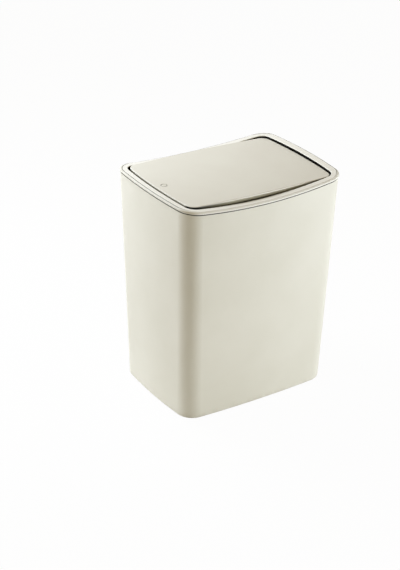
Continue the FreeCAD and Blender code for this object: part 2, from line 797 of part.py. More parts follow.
def torsion_spring(name, side):
    """A torsion spring round the axle: a leg down to the foot, the coil and a leg under the lid."""
    radius = amount(torsion_radius)
    wire = amount("torsion_wire")
    turns = amount("torsion_turns") - 0.25
    pitch = -side * amount("torsion_pitch")
    start = side * amount(torsion_start)
    lean = pitch / (2 * math.pi)

    def point(angle):
        y = -radius * math.cos(angle)
        z = radius * math.sin(angle)
        return FreeCAD.Vector(start + lean * angle, y, z)

    def heading(angle):
        return FreeCAD.Vector(lean, radius * math.sin(angle), radius * math.cos(angle)).normalize()

    last = 2 * math.pi * turns
    foot_leg = amount(f"{hinge_z} - {foot_top} - spring_seat") / heading(0).z
    lid_leg = amount("torsion_leg") / abs(heading(last).y)
    edges = [Part.makeLine(point(0) - heading(0) * foot_leg, point(0))]
    edges += coil_edges(point, heading, turns)
    edges.append(Part.makeLine(point(last), point(last) + heading(last) * lid_leg))
    print(name, "least gap to itself", round(least_gap(edges[1:-1], wire), 2))
    thing = doc.addObject("Part::Feature", name)
    thing.Shape = tube(edges, wire)
    return finished(name, place(thing, "0", hinge_y, hinge_z))


springs = [torsion_spring(f"hinge_spring_{name}", side) for name, side in sides.items()]

# Push latch: a flanged case through the shelf, its cover, plunger, magnet, spring and follower.
case_x = around("0", "case_width")
case_y = around(latch_y, "case_depth")
case_back = f"({latch_y} + case_depth / 2)"
cavity_back = f"({latch_y} + {cavity_depth} / 2)"
window_top = f"({shelf_top} - 2 * shelf_thickness)"
case_block = block("case_block", (case_x, case_y, (case_bottom, shelf_top)))
case_flange = block("case_flange", (around("0", "flange_width"), case_y, (shelf_top, flange_top)))
cavity_x = around("0", cavity_width)
cavity_y = around(latch_y, cavity_depth)
cavity_z = (case_inside, f"{flange_top} + case_wall")
cavity = block("cavity", (cavity_x, cavity_y, cavity_z))
window_y = (latch_y, f"{case_back} + case_wall")
side_window = block("side_window", (cavity_x, window_y, (case_inside, window_top)))
flange_holes = [
    rod(
        f"flange_hole_{name}",
        "screw_diameter / 2 + screw_clearance",
        "3 * flange_thickness",
        (f"{side} * {flange_screw_x}", latch_y, f"{shelf_top} - flange_thickness"),
    )
    for name, side in sides.items()
]
case_whole = fuse("case_whole", case_block, case_flange)
latch_housing = finished("latch_housing", cut("case", case_whole, cavity, side_window, *flange_holes))

tip_z = f"({plunger_bottom} + follower_reach)"
pivot_z = f"({case_inside} + 2 * follower_bend)"
shank_y = f"({cavity_back} + follower_pocket / 2)"
cover_y = (case_back, f"{case_back} + cover_thickness")
cover_plate = block("cover_plate", (case_x, cover_y, (case_bottom, window_top)))
tongue_x = around("0", f"{cavity_width} - 2 * screw_clearance")
tongue_z = (f"{case_inside} + screw_clearance", f"{window_top} - screw_clearance")
cover_tongue = block("cover_tongue", (tongue_x, (cavity_back, case_back), tongue_z))
pocket_y = (cavity_back, f"{cavity_back} + follower_pocket")
cover_pocket = block("cover_pocket", (around("0", "track_width"), pocket_y, (case_inside, window_top)))
pivot_at = ("0", cavity_back, pivot_z)
cover_pivot = rod("cover_pivot", "follower_wire / 2 + follower_play", "2 * case_wall", pivot_at, "y")
cover_whole = fuse("cover_whole", cover_plate, cover_tongue)
latch_cover = finished("latch_cover", cut("cover", cover_whole, cover_pocket, cover_pivot))

plunger_width = f"({cavity_width} - 2 * plunger_clearance)"
plunger_x = around("0", plunger_width)
plunger_y = around(latch_y, plunger_depth)
head_low = f"({head_top} - plunger_head)"
stem = block("plunger_stem", (plunger_x, plunger_y, (plunger_bottom, head_low)))
head_x = around("0", f"{plunger_width} + 2 * plunger_head_overhang")
head_y = around(latch_y, f"{plunger_depth} + 2 * plunger_head_overhang")
plunger_cap = block("plunger_cap", (head_x, head_y, (head_low, head_top)))
spring_bore = rod(
    "spring_bore",
    "latch_spring_diameter / 2 + spring_clearance",
    "latch_spring_bore",
    ("0", latch_y, plunger_bottom),
)
magnet_low = f"({magnet_top} - magnet_thickness)"
magnet_at = ("0", latch_y, magnet_low)
pocket_radius = "magnet_diameter / 2 + running_clearance"
magnet_pocket = rod("magnet_pocket", pocket_radius, "2 * magnet_thickness", magnet_at)
track_back = f"({latch_y} + {plunger_depth} / 2)"
track_y = (f"{track_back} - track_depth", f"{track_back} + track_depth")
track_z = (plunger_bottom, f"{tip_z} + track_reach")
track = block("track", (around("0", "track_width"), track_y, track_z))
plunger_whole = fuse("plunger_whole", stem, plunger_cap)
latch_plunger = finished("latch_plunger", cut("plunger", plunger_whole, spring_bore, magnet_pocket, track))
latch_magnet = finished("latch_magnet", rod("magnet", "magnet_diameter / 2", "magnet_thickness", magnet_at))


def compression_spring(name):
    """The coil spring between the case floor and the plunger's bore."""
    wire = amount("latch_spring_wire")
    radius = amount("latch_spring_diameter / 2") - wire / 2
    turns = amount("latch_spring_turns")
    low = amount("latch_spring_wire / 2 + spring_seat")
    high = amount(f"{bore_top} - {case_inside} - latch_spring_wire / 2 - spring_seat")
    rise = (high - low) / (2 * math.pi * turns)

    def point(angle):
        return FreeCAD.Vector(radius * math.cos(angle), radius * math.sin(angle), low + rise * angle)

    def heading(angle):
        return FreeCAD.Vector(-radius * math.sin(angle), radius * math.cos(angle), rise).normalize()

    edges = coil_edges(point, heading, turns)
    print(name, "least gap to itself", round(least_gap(edges, wire), 2))
    thing = doc.addObject("Part::Feature", name)
    thing.Shape = tube(edges, wire)
    return finished(name, place(thing, "0", latch_y, case_inside))


latch_spring = compression_spring("latch_spring")


def bent_follower(name):
    """A wire with a pivot end in the cover, a straight shank and a tip in the plunger's track."""
    wire = amount("follower_wire")
    bend = amount("follower_bend")
    tip = amount("follower_tip")
    rise = amount(f"{tip_z} - {pivot_z}")
    pivot_end = FreeCAD.Vector(0, bend + tip, 0)
    pivot_bend = FreeCAD.Vector(0, bend, 0)
    shank_low = FreeCAD.Vector(0, 0, bend)
    shank_high = FreeCAD.Vector(0, 0, rise - bend)
    tip_bend = FreeCAD.Vector(0, -bend, rise)
    tip_end = FreeCAD.Vector(0, -bend - tip, rise)
    edges = [
        Part.makeLine(pivot_end, pivot_bend),
        arc_between(pivot_bend, FreeCAD.Vector(0, -1, 0), shank_low),
        Part.makeLine(shank_low, shank_high),
        arc_between(shank_high, FreeCAD.Vector(0, 0, 1), tip_bend),
        Part.makeLine(tip_bend, tip_end),
    ]
    thing = doc.addObject("Part::Feature", name)
    thing.Shape = tube(edges, wire)
    return finished(name, place(thing, "0", shank_y, pivot_z))


latch_follower = bent_follower("latch_follower")
latch_screws = finished(
    "latch_screws",
    group(
        "latch_screw_set",
        [
            screw(f"latch_screw_{name}", f"{side} * {flange_screw_x}", latch_y, flange_top, -1)
            for name, side in sides.items()
        ],
    ),
)

# Strike plate under the inner lid, with rounded corners and countersunk holes.
strike_x = around("0", "strike_width")
strike_y = around(latch_y, "strike_depth")
strike_block = block("strike_block", (strike_x, strike_y, (strike_bottom, lid_bottom)))
strike_blank = rounded(
    "strike_blank",
    strike_block,
    "strike_corner",
    lambda edge: abs(edge.tangentAt(edge.FirstParameter).z) > 0.9,
)
sinks = [
    taper(
        f"strike_sink_{i}",
        "screw_head / 2 + screw_clearance",
        "screw_diameter / 2 + screw_clearance",
        "strike_thickness",
        (x, y, strike_bottom),
    )
    for i, (x, y) in enumerate(strike_screw_places)
]
strike_plate = finished("strike_plate", tilted(cut("strike", strike_blank, *sinks)))
strike_screw_set = group(
    "strike_screw_set",
    [
        sunk_screw(f"strike_screw_{i}", x, y, strike_bottom, "strike_thickness")
        for i, (x, y) in enumerate(strike_screw_places)
    ],
)
strike_screws = finished("strike_screws", tilted(strike_screw_set))

# Rubber studs pushed through the shelf, with a domed top and a bulb under it.
studs = []
for name, side in sides.items():
    stud_at = (f"{side} * buffer_spacing / 2", latch_y)
    top = rod(f"stud_top_{name}", "buffer_diameter / 2", "buffer_height", (*stud_at, shelf_top))
    stem_low = f"{shelf_top} - shelf_thickness"
    stud_stem = rod(f"stud_stem_{name}", "buffer_stem / 2", "shelf_thickness", (*stud_at, stem_low))
    bulb_low = f"{stem_low} - 2 * buffer_bulb"
    bulb = taper(
        f"stud_bulb_{name}",
        "buffer_stem / 2",
        "buffer_stem / 2 + buffer_bulb",
        "2 * buffer_bulb",
        (*stud_at, bulb_low),
    )
    crown = amount(f"{shelf_top} + buffer_height")
    domed = rounded(
        f"stud_domed_{name}",
        top,
        "buffer_round",
        lambda edge: edge.Closed and abs(middle(edge).z - crown) < 0.01,
    )
    studs.append(fuse(f"stud_{name}", domed, stud_stem, bulb))
lid_buffers = finished("lid_buffers", group("stud_set", studs))

nodes = [
    bin_body,
    lid_collar,
    collar_frame,
    lid_panel,
    lid_liner,
    liner_screws,
    hinge_axle,
    axle_clips,
    *bushes,
    *springs,
    latch_housing,
    latch_cover,
    latch_plunger,
    latch_magnet,
    latch_spring,
    latch_follower,
    latch_screws,
    strike_plate,
    strike_screws,
    lid_buffers,
]

doc.recompute()
for thing in doc.Objects:
    if "Invalid" in thing.State or "Error" in thing.State:
        raise RuntimeError(f"{thing.Name} failed: {thing.State}")
for thing in nodes:
    if thing.Shape.isNull() or not thing.Shape.isValid():
        raise RuntimeError(f"{thing.Label} has no valid shape")

os.makedirs("parts", exist_ok=True)
for thing in nodes:
    thing.Shape.exportStep(f"parts/{thing.Label}.step")
    print(thing.Label, len(thing.Shape.Solids), "solids", round(thing.Shape.Volume / 1000, 2), "cm3")
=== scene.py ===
import math

import bmesh
import bpy
from mathutils import Matrix, Vector


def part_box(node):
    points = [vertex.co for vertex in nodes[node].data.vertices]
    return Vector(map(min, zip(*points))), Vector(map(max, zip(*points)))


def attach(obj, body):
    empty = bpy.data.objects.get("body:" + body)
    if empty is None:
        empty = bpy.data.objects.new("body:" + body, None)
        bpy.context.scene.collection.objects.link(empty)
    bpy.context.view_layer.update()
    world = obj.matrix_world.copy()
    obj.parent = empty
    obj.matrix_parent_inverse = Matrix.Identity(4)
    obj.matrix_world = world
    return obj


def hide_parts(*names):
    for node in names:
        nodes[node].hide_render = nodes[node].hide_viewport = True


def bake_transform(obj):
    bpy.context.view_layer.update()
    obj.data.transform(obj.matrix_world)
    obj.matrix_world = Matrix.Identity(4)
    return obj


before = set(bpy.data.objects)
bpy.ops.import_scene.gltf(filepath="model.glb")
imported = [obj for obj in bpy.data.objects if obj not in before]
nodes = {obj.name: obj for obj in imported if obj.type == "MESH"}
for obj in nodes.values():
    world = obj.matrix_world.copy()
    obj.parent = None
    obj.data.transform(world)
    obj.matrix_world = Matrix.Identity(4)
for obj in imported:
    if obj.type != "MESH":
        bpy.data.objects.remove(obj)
scene = bpy.context.scene
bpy.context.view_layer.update()  # the CAD box, before anything is added
print("frame loaded:", len(nodes), "nodes")

# camera, fitted to the photograph's outlines
cameraFit = {
    "azimuth": 56.657,  # degrees, 0 looks along +Y
    "elevation": 27.478,
    "roll": 1.069,
    "distance": 2.3046,  # metres from the aim point
    "aim": (0, 0, 0.175),
    "offset": (0.04045, 0.01655),  # metres at the aim point that the frame moves right and up
    "focalPixels": 1505.9,
    "framePixels": 570,  # the long side
    "sensor": 36,
    "clip": (0.05, 50),
}


def makeCamera(fit):
    azimuth = math.radians(fit["azimuth"])
    elevation = math.radians(fit["elevation"])
    roll = math.radians(fit["roll"])
    flatBack = Vector((math.sin(azimuth), -math.cos(azimuth), 0))
    flatRight = Vector((math.cos(azimuth), math.sin(azimuth), 0))
    back = flatBack * math.cos(elevation) + Vector((0, 0, math.sin(elevation)))
    flatUp = back.cross(flatRight)
    right = flatRight * math.cos(roll) + flatUp * math.sin(roll)
    up = flatUp * math.cos(roll) - flatRight * math.sin(roll)
    place = Vector(fit["aim"]) + back * fit["distance"]
    place -= right * fit["offset"][0] + up * fit["offset"][1]
    data = bpy.data.cameras.new("photoCamera")
    data.sensor_width = fit["sensor"]
    data.lens = fit["focalPixels"] * fit["sensor"] / fit["framePixels"]
    data.clip_start, data.clip_end = fit["clip"]
    camera = bpy.data.objects.new("photoCamera", data)
    scene.collection.objects.link(camera)
    turned = Matrix((right, up, back)).transposed()
    camera.matrix_world = Matrix.Translation(place) @ turned.to_4x4()
    scene.camera = camera


makeCamera(cameraFit)
print("camera placed")


def paint(red, green, blue):
    # screen colour, 0 to 255, as the shader's linear colour
    def straight(level):
        level /= 255
        return level / 12.92 if level <= 0.04045 else ((level + 0.055) / 1.055) ** 2.4
    return (straight(red), straight(green), straight(blue), 1)


# studio: a soft lamp for each face in view, so the corner between the two walls falls into shade
studio = {
    "ambientColour": (1, 0.79, 0.42, 1),
    "ambientStrength": 0.285,
    "floorSize": 9,
    "floorColour": paint(236, 236, 234),
    "floorGlow": 0.97,  # share of the floor's own white that the camera sees
    "floorRough": 0.6,
}
lamps = {
    "windowSide": {
        "place": (-0.575, -0.26, 0.966),
        "aim": (0, 0, 0.2),
        "size": (0.5, 0.5),
        "watts": 8.6,
        "colour": (0.8, 0.875, 0.99),
    },
    "windowFront": {
        "place": (-0.781, -1.158, 0.298),
        "aim": (0, 0, 0.2),
        "size": (0.8, 0.8),
        "watts": 12,
        "colour": (0.81, 0.875, 0.98),
    },
    "windowRear": {
        "place": (1.024, 0.8, 0.2),
        "aim": (0, 0, 0.17),
        "size": (0.7, 0.38),
        "watts": 12.8,
        "colour": (0.8, 0.875, 0.98),
    },
}


def sums(tree, operation, *values):
    node = tree.nodes.new("ShaderNodeMath")
    node.operation = operation
    for socket, value in zip(node.inputs, values):
        if isinstance(value, (int, float)):
            socket.default_value = value
        else:
            tree.links.new(value, socket)
    return node.outputs[0]


def times(tree, first, second):
    return sums(tree, "MULTIPLY", first, second)


def seenRays(tree):
    # 1 for what the camera sees, directly, mirrored or through glass
    path = tree.nodes.new("ShaderNodeLightPath")
    seen = path.outputs["Is Camera Ray"]
    for ray in ("Is Glossy Ray", "Is Transmission Ray"):
        seen = sums(tree, "MAXIMUM", seen, path.outputs[ray])
    return seen


def mixShaders(tree, share, first, second, output):
    mix = tree.nodes.new("ShaderNodeMixShader")
    tree.links.new(share, mix.inputs["Fac"])
    tree.links.new(first.outputs[0], mix.inputs[1])
    tree.links.new(second.outputs[0], mix.inputs[2])
    tree.links.new(mix.outputs[0], tree.nodes[output].inputs["Surface"])


def makeWorld(look):
    world = bpy.data.worlds.new("studio")
    scene.world = world
    world.use_nodes = True
    tree = world.node_tree
    ambient = tree.nodes["Background"]
    ambient.inputs["Color"].default_value = look["ambientColour"]
    ambient.inputs["Strength"].default_value = look["ambientStrength"]
    white = tree.nodes.new("ShaderNodeBackground")
    white.inputs["Color"].default_value = (1, 1, 1, 1)
    white.inputs["Strength"].default_value = 1
    mixShaders(tree, seenRays(tree), ambient, white, "World Output")


def makeFloor(look):
    bm = bmesh.new()
    bmesh.ops.create_grid(bm, x_segments=1, y_segments=1, size=look["floorSize"] / 2)
    mesh = bpy.data.meshes.new("floor")
    bm.to_mesh(mesh)
    bm.free()
    floor = bpy.data.objects.new("floor", mesh)
    scene.collection.objects.link(floor)
    material = bpy.data.materials.new("floorPaper")
    material.use_nodes = True
    tree = material.node_tree
    paper = tree.nodes["Principled BSDF"]
    paper.inputs["Base Color"].default_value = look["floorColour"]
    paper.inputs["Roughness"].default_value = look["floorRough"]
    paper.inputs["Specular IOR Level"].default_value = 0
    glow = tree.nodes.new("ShaderNodeEmission")
    glow.inputs["Strength"].default_value = 1
    mixShaders(tree, times(tree, seenRays(tree), look["floorGlow"]), paper, glow, "Material Output")
    mesh.materials.append(material)


def makeLamp(name, look):
    data = bpy.data.lights.new(name, "AREA")
    data.shape = "RECTANGLE"
    data.size, data.size_y = look["size"]
    data.energy = look["watts"]
    data.color = look["colour"]
    lamp = bpy.data.objects.new(name, data)
    scene.collection.objects.link(lamp)
    lamp.location = look["place"]
    facing = Vector(look["aim"]) - Vector(look["place"])
    lamp.rotation_euler = facing.to_track_quat("-Z", "Y").to_euler()


makeWorld(studio)
makeFloor(studio)
for lampName, lampLook in lamps.items():
    makeLamp(lampName, lampLook)
scene.view_settings.view_transform = "Standard"
print("studio lit:", len(lamps), "lamps")


# finishes, all on Object coordinates
def startFinish(name):
    material = bpy.data.materials.new(name)
    material.use_nodes = True
    tree = material.node_tree
    coords = tree.nodes.new("ShaderNodeTexCoord").outputs["Object"]
    return material, tree, tree.nodes["Principled BSDF"], coords


def stretched(tree, coords, scale):
    mapping = tree.nodes.new("ShaderNodeMapping")
    mapping.inputs["Scale"].default_value = scale
    tree.links.new(coords, mapping.inputs["Vector"])
    return mapping.outputs["Vector"]


def noise(tree, coords, scale, detail):
    texture = tree.nodes.new("ShaderNodeTexNoise")
    texture.inputs["Scale"].default_value = scale
    texture.inputs["Detail"].default_value = detail
    tree.links.new(coords, texture.inputs["Vector"])
    return texture.outputs["Fac"]


def ranged(tree, value, fromLow, fromHigh, toLow, toHigh):
    node = tree.nodes.new("ShaderNodeMapRange")
    node.inputs["From Min"].default_value = fromLow
    node.inputs["From Max"].default_value = fromHigh
    node.inputs["To Min"].default_value = toLow
    node.inputs["To Max"].default_value = toHigh
    tree.links.new(value, node.inputs["Value"])
    return node.outputs["Result"]


def apart(tree, coords):
    node = tree.nodes.new("ShaderNodeSeparateXYZ")
    tree.links.new(coords, node.inputs[0])
    return node.outputs["X"], node.outputs["Y"], node.outputs["Z"]


def beyondCore(tree, x, y, plan):
    # how far a point lies outside the middle of a rounded outline with bulging sides
    across = sums(tree, "ABSOLUTE", x)
    along = sums(tree, "ABSOLUTE", sums(tree, "SUBTRACT", y, plan["shift"]))
    spans = (
        (across, along, plan["sideRadius"], plan["halfWidth"]),
        (along, across, plan["endRadius"], plan["halfDepth"]),
    )
    reaches = []
    for out, sideways, radius, half in spans:
        bulge = sums(tree, "DIVIDE", times(tree, sideways, sideways), 2 * radius)
        past = sums(tree, "SUBTRACT", sums(tree, "ADD", out, bulge), half - plan["corner"])
        reaches.append(sums(tree, "MAXIMUM", past, 0))
    return reaches


def flatLength(tree, x, y):
    flat = tree.nodes.new("ShaderNodeCombineXYZ")
    tree.links.new(x, flat.inputs[0])
    tree.links.new(y, flat.inputs[1])
    length = tree.nodes.new("ShaderNodeVectorMath")
    length.operation = "LENGTH"
    tree.links.new(flat.outputs[0], length.inputs[0])
    return length.outputs["Value"]


def pastCore(tree, x, y, plan):
    return flatLength(tree, *beyondCore(tree, x, y, plan))


def overDip(tree, y, z, dip):
    # height over a line that dips along the depth
    line = sums(tree, "MULTIPLY_ADD", times(tree, y, y), dip["rise"], dip["level"])
    return sums(tree, "SUBTRACT", z, line)


def blendColours(tree, factor, first, second):
    # the node's colours go in at 6 and 7 and come out at 2
    node = tree.nodes.new("ShaderNodeMix")
    node.data_type = "RGBA"
    tree.links.new(factor, node.inputs["Factor"])
    for socket, colour in ((node.inputs[6], first), (node.inputs[7], second)):
        if isinstance(colour, tuple):
            socket.default_value = colour
        else:
            tree.links.new(colour, socket)
    return node.outputs[2]


def bump(tree, height, strength, depth, under=None):
    node = tree.nodes.new("ShaderNodeBump")
    node.inputs["Strength"].default_value = strength
    node.inputs["Distance"].default_value = depth
    tree.links.new(height, node.inputs["Height"])
    if under is not None:
        tree.links.new(under, node.inputs["Normal"])
    return node.outputs["Normal"]


# painted shade and highlight on the collar, the lid and the shoulder that the collar stands on:
# shade where the mouldings meet and in the lid's ring groove, a highlight along the lid's edge
collarPlan = {
    "halfWidth": 0.107,
    "halfDepth": 0.143,
    "sideRadius": 1.7,
    "endRadius": 0.78,
    "corner": 0.0275,
    "shift": 0,
}
lidPlan = {
    "halfWidth": 0.0918,
    "halfDepth": 0.1286,
    "sideRadius": 1.7,
    "endRadius": 0.78,
    "corner": 0.0143,
    "shift": 0.0008,
}
# painted shade on the shoulder under the collar's skirt, darkening the seam between the two
# mouldings
seamPaintedShade = {
    "tone": paint(50, 48, 40),
    "level": 0.33492,  # the shoulder's height at half depth
    "rise": 0.465,  # metres for each square metre from half depth
    "fade": 0.0003,
    "reach": 0.0014,
}
# painted shade on the collar's inner wall below the crest, so that the gap round the lid reads dark
mouthPaintedShade = {
    "tone": paint(40, 38, 34),
    "level": 0.3404,
    "rise": 0.469,
    "start": 0.0007,  # metres below the crest
    "full": 0.0012,
    "core": 0.021,  # reach past the collar's core that ends it
    "blur": 0.001,
}
# painted shade: a dark line round the collar where the band turns down into its skirt, standing in
# for the shade on the rounding
creasePaintedShade = {
    "tone": paint(126, 123, 111),
    "start": 0.0244,  # reach past the core, where the band turns down into its skirt
    "end": 0.0257,
    "fade": 0.0003,
    "litSide": (0.084, 0.1),  # the painted shade fades out towards this side, where the light falls on the band
    "litSideShare": 0.2,
}
# painted shade on the collar's skirt, darker than the band above it
skirtPaintedShade = {
    "tone": paint(222, 219, 207),
    "start": 0.0256,
    "full": 0.0262,
}
# painted shade on the lid's side face below its top
lidWallPaintedShade = {
    "tone": paint(172, 168, 146),
    "level": 0.34666,  # height of the lid's face at half depth
    "lean": -0.018,
    "start": 0.0015,  # metres below the face
    "full": 0.002,
    "core": 0.0117,  # reach past the lid's core that starts it
    "blur": 0.0004,
}
# painted shadow, near black, on the lid's side at its corners and towards its ends
cornerPaintedShadow = {
    "tone": paint(34, 33, 29),
    "start": 0.0004,
    "full": 0.0009,
    "turn": 0.004,
    "endStart": 0.062,  # distances from the middle along the depth
    "endFull": 0.114,
}
lidEdgeHighlight = {
    "tone": paint(240, 238, 228),  # painted highlight along the lid's rounded top edge
    "start": 0.0001,
    "full": 0.0005,
}
# painted shade in the ring groove on the lid's face
ringGroovePaintedShade = {
    "tone": paint(140, 136, 120),
    "middle": -0.1135,
    "radius": 0.0045,
    "half": 0.0005,
    "fade": 0.0001,
    "level": 0.344,
}


def seamShadeMask(tree, x, y, z):
    over = overDip(tree, y, z, seamPaintedShade)
    rising = ranged(tree, over, -seamPaintedShade["fade"], 0, 0, 1)
    ending = ranged(tree, over, seamPaintedShade["reach"], 2 * seamPaintedShade["reach"], 1, 0)
    return times(tree, rising, ending)


def mouthShadeMask(tree, x, y, z):
    over = overDip(tree, y, z, mouthPaintedShade)
    below = ranged(tree, over, -mouthPaintedShade["full"], -mouthPaintedShade["start"], 1, 0)
    core = mouthPaintedShade["core"]
    inside = ranged(tree, pastCore(tree, x, y, collarPlan), core - mouthPaintedShade["blur"], core, 1, 0)
    return times(tree, below, inside)


# the painted shade of the crease and the skirt fades out towards +X, the side where light falls on
# the band
def litSideFade(tree, x):
    return ranged(tree, x, *creasePaintedShade["litSide"], 1, creasePaintedShade["litSideShare"])


def creaseShadeMask(tree, x, y, z):
    away = pastCore(tree, x, y, collarPlan)
    start, end, fade = creasePaintedShade["start"], creasePaintedShade["end"], creasePaintedShade["fade"]
    rising = ranged(tree, away, start, start + fade, 0, 1)
    ending = ranged(tree, away, end, end + fade, 1, 0)
    return times(tree, times(tree, rising, ending), litSideFade(tree, x))


def skirtShadeMask(tree, x, y, z):
    away = pastCore(tree, x, y, collarPlan)
    turned = ranged(tree, away, skirtPaintedShade["start"], skirtPaintedShade["full"], 0, 1)
    return times(tree, turned, litSideFade(tree, x))


def underLid(tree, y, z):
    plane = sums(tree, "MULTIPLY_ADD", y, lidWallPaintedShade["lean"], lidWallPaintedShade["level"])
    return sums(tree, "SUBTRACT", plane, z)


def lidSide(tree, away):
    return ranged(tree, away, lidWallPaintedShade["core"], lidWallPaintedShade["core"] + lidWallPaintedShade["blur"], 0, 1)


def lidWallShadeMask(tree, x, y, z):
    below = ranged(tree, underLid(tree, y, z), lidWallPaintedShade["start"], lidWallPaintedShade["full"], 0, 1)
    return times(tree, below, lidSide(tree, pastCore(tree, x, y, lidPlan)))


def cornerShadowMask(tree, x, y, z):
    below = ranged(tree, underLid(tree, y, z), cornerPaintedShadow["start"], cornerPaintedShadow["full"], 0, 1)
    across, along = beyondCore(tree, x, y, lidPlan)
    side = ranged(tree, across, 0, cornerPaintedShadow["turn"], 0, 1)
    fromMiddle = sums(tree, "ABSOLUTE", sums(tree, "SUBTRACT", y, lidPlan["shift"]))
    end = ranged(tree, fromMiddle, cornerPaintedShadow["endStart"], cornerPaintedShadow["endFull"], 0, 1)
    bend = times(tree, side, end)
    outside = lidSide(tree, flatLength(tree, across, along))
    return times(tree, times(tree, below, bend), outside)


def lidEdgeHighlightMask(tree, x, y, z):
    return ranged(tree, underLid(tree, y, z), lidEdgeHighlight["start"], lidEdgeHighlight["full"], 0, 1)


def ringGrooveShadeMask(tree, x, y, z):
    middle = sums(tree, "SUBTRACT", y, ringGroovePaintedShade["middle"])
    offRing = sums(tree, "SUBTRACT", flatLength(tree, x, middle), ringGroovePaintedShade["radius"])
    away = sums(tree, "ABSOLUTE", offRing)
    groove = ranged(tree, away, ringGroovePaintedShade["half"], ringGroovePaintedShade["half"] + ringGroovePaintedShade["fade"], 1, 0)
    return times(tree, groove, sums(tree, "GREATER_THAN", z, ringGroovePaintedShade["level"]))


def cloudedTone(tree, coords, scale, clouds, look):
    cloud = noise(tree, coords, scale, clouds["toneDetail"])
    share = ranged(tree, cloud, *clouds["toneSpan"], 0, 1)
    return blendColours(tree, share, look["pale"], look["deep"])


def setGloss(tree, shader, coords, clouds, look):
    cloud = noise(tree, coords, clouds["glossScale"], clouds["glossDetail"])
    gloss = ranged(tree, cloud, *clouds["glossSpan"], *look["rough"])
    tree.links.new(gloss, shader.inputs["Roughness"])


def grained(tree, coords, clouds, look, under=None):
    grain = noise(tree, coords, look["grainScale"], clouds["grainDetail"])
    return bump(tree, grain, look["grainStrength"], look["grainDepth"], under)


# moulded cream plastic: a faint cloudy tone, fine spark-eroded grain, hairlines and a rubbed foot
creamShell = {
    "pale": paint(228, 225, 212),
    "deep": paint(224, 221, 207),
    "toneScale": 11,
    "grainScale": 1500,
    "grainStrength": 0.25,
    "grainDepth": 0.00006,
    "rough": (0.42, 0.5),
    "hairlineStretch": (260, 260, 9),
    "hairlineStrength": 0.06,
    "rubbed": paint(208, 203, 187),
    "rubbedTop": 0.011,  # metres above the floor
    "specular": 0.4,
}
# the collar's cream is whiter than the shell's: partly its own paler cream, partly painted light
# raised to stand in for the light on the band
creamCollar = {
    "pale": paint(250, 248, 240),
    "deep": paint(247, 245, 236),
    "toneScale": 14,
    "grainScale": 2200,
    "grainStrength": 0.08,
    "grainDepth": 0.00004,
    "rough": (0.34, 0.42),
    "hairlineStretch": (70, 70, 200),
    "hairlineStrength": 0.03,
    "rubbed": paint(247, 245, 236),
    "rubbedTop": 0.002,
    "specular": 0.15,
}
creamLid = {
    "pale": paint(228, 225, 212),
    "deep": paint(225, 221, 208),
    "toneScale": 12,
    "grainScale": 1800,
    "grainStrength": 0.16,
    "grainDepth": 0.00005,
    "rough": (0.36, 0.43),
    "hairlineStretch": (14, 240, 240),
    "hairlineStrength": 0.05,
    "rubbed": paint(225, 221, 208),
    "rubbedTop": 0.002,
    "specular": 0.45,
}
creamLiner = {
    "pale": paint(221, 217, 202),
    "deep": paint(215, 210, 194),
    "toneScale": 20,
    "grainScale": 1200,
    "grainStrength": 0.3,
    "grainDepth": 0.00008,
    "rough": (0.5, 0.58),
    "hairlineStretch": (240, 14, 240),
    "hairlineStrength": 0.08,
    "rubbed": paint(215, 210, 194),
    "rubbedTop": 0.002,
    "specular": 0.4,
}
mouldedClouds = {
    "toneDetail": 4,
    "toneSpan": (0.35, 0.65),  # the part of the noise that is used
    "wearScale": 90,
    "wearDetail": 5,
    "wearSpan": (0.42, 0.6),
    "wearShare": (0.1, 0.8),
    "glossScale": 45,
    "glossDetail": 5,
    "glossSpan": (0.3, 0.7),
    "hairlineScale": 6,
    "hairlineDetail": 3,
    "grainDetail": 2,
}


def mouldedPlastic(name, look, paintedShading=()):
    material, tree, shader, coords = startFinish(name)
    x, y, z = apart(tree, coords)
    clouds = mouldedClouds
    colour = cloudedTone(tree, coords, look["toneScale"], clouds, look)
    lowness = ranged(tree, z, 0, look["rubbedTop"], 1, 0)
    wear = noise(tree, coords, clouds["wearScale"], clouds["wearDetail"])
    patches = ranged(tree, wear, *clouds["wearSpan"], *clouds["wearShare"])
    colour = blendColours(tree, times(tree, lowness, patches), colour, look["rubbed"])
    # painted shade and highlight tones, laid over the plastic's own colour
    for mask, shade in paintedShading:
        colour = blendColours(tree, mask(tree, x, y, z), colour, shade)
    tree.links.new(colour, shader.inputs["Base Color"])
    setGloss(tree, shader, coords, clouds, look)
    shader.inputs["Specular IOR Level"].default_value = look["specular"]
    drawn = stretched(tree, coords, look["hairlineStretch"])
    hairlines = noise(tree, drawn, clouds["hairlineScale"], clouds["hairlineDetail"])
    normal = bump(tree, hairlines, look["hairlineStrength"], look["grainDepth"])
    tree.links.new(grained(tree, coords, clouds, look, normal), shader.inputs["Normal"])
    return material


# plain technical plastics of the hinge and the latch, and the frame inside the collar
whiteAcetal = {
    "pale": paint(236, 236, 230),
    "deep": paint(226, 226, 218),
    "rough": (0.3, 0.42),
    "grainScale": 1400,
    "grainStrength": 0.12,
    "grainDepth": 0.00004,
    "specular": 0.5,
}
greyAcetal = {
    "pale": paint(142, 144, 146),
    "deep": paint(128, 130, 132),
    "rough": (0.38, 0.5),
    "grainScale": 1400,
    "grainStrength": 0.25,
    "grainDepth": 0.00006,
    "specular": 0.45,
}
